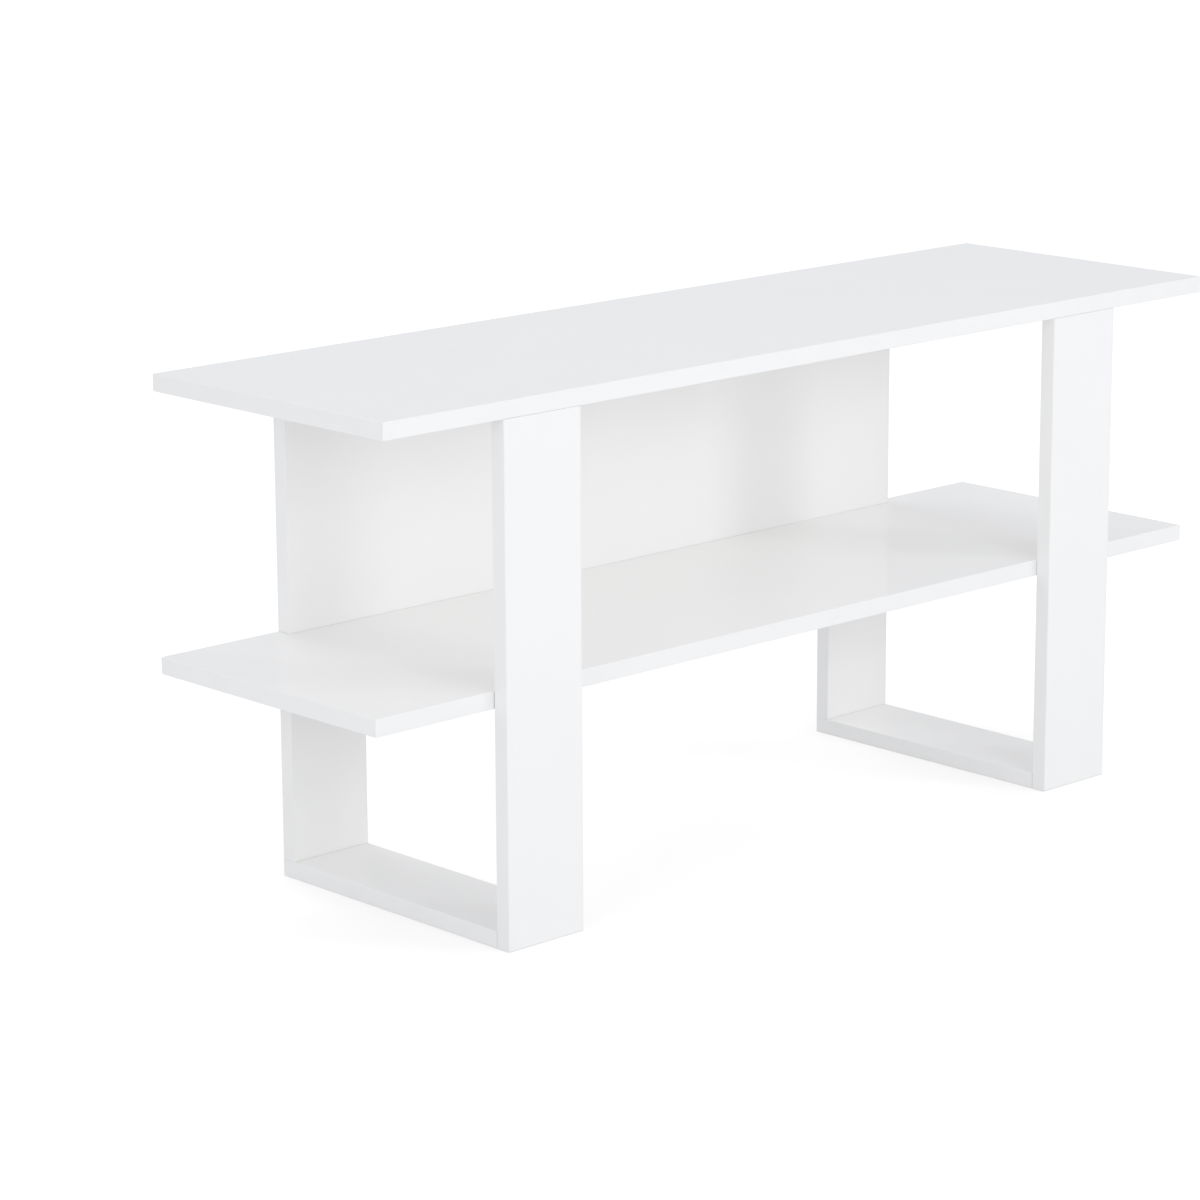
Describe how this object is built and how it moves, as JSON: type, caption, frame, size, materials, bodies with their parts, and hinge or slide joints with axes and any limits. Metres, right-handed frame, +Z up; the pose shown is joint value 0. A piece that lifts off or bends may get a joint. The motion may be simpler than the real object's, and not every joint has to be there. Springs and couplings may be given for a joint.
{
  "type": "console table",
  "caption": "Low console table with a flat top, a full-length open shelf, a back panel between them, and flat front legs tied to short rear legs by floor rails.",
  "frame": {"origin": "on the floor, below the middle of the top", "axes": "+X along the table's length, +Y from the front to the rear, +Z up"},
  "size_m": [1.2, 0.3511, 0.55],
  "materials": {
    "white_board": "gloss",
    "white_edge_band": "gloss",
    "cam_zinc": "satin",
    "bolt_steel": "satin",
    "beech_dowel": "matte",
    "white_cap": "satin"
  },
  "bodies": {
    "root": {"back_panel": "white_board", "back_panel_caps": "white_cap", "back_panel_left_band": "white_edge_band", "back_panel_right_band": "white_edge_band", "back_to_shelf_bolt": "bolt_steel", "back_to_shelf_cams": "cam_zinc", "back_to_shelf_dowels": "beech_dowel", "back_to_top_bolts": "bolt_steel", "back_to_top_cams": "cam_zinc", "back_to_top_dowels": "beech_dowel", "front_leg_caps": "white_cap", "left_front_leg": "white_board", "left_front_leg_foot_band": "white_edge_band", "left_front_leg_inner_band": "white_edge_band", "left_front_leg_outer_band": "white_edge_band", "left_rail": "white_board", "left_rail_inner_band": "white_edge_band", "left_rail_outer_band": "white_edge_band", "left_rail_rear_band": "white_edge_band", "left_rear_leg": "white_board", "left_rear_leg_inner_band": "white_edge_band", "left_rear_leg_outer_band": "white_edge_band", "leg_to_top_bolts": "bolt_steel", "leg_to_top_cams": "cam_zinc", "leg_to_top_dowels": "beech_dowel", "rail_to_leg_bolts": "bolt_steel", "rail_to_leg_cams": "cam_zinc", "rail_to_leg_dowels": "beech_dowel", "rail_to_rear_leg_dowels": "beech_dowel", "rail_to_rear_leg_screws": "bolt_steel", "rear_leg_caps": "white_cap", "rear_leg_to_shelf_cams": "cam_zinc", "rear_leg_to_shelf_dowels": "beech_dowel", "right_front_leg": "white_board", "right_front_leg_foot_band": "white_edge_band", "right_front_leg_inner_band": "white_edge_band", "right_front_leg_outer_band": "white_edge_band", "right_rail": "white_board", "right_rail_inner_band": "white_edge_band", "right_rail_outer_band": "white_edge_band", "right_rail_rear_band": "white_edge_band", "right_rear_leg": "white_board", "right_rear_leg_inner_band": "white_edge_band", "right_rear_leg_outer_band": "white_edge_band", "shelf": "white_board", "shelf_caps": "white_cap", "shelf_front_band": "white_edge_band", "shelf_left_band": "white_edge_band", "shelf_rear_band": "white_edge_band", "shelf_right_band": "white_edge_band", "shelf_through_bolts": "bolt_steel", "shelf_to_leg_bolts": "bolt_steel", "shelf_to_leg_cams": "cam_zinc", "shelf_to_leg_dowels": "beech_dowel", "top_panel": "white_board", "top_panel_front_band": "white_edge_band", "top_panel_left_band": "white_edge_band", "top_panel_rear_band": "white_edge_band", "top_panel_right_band": "white_edge_band"}
  },
  "joints": []
}
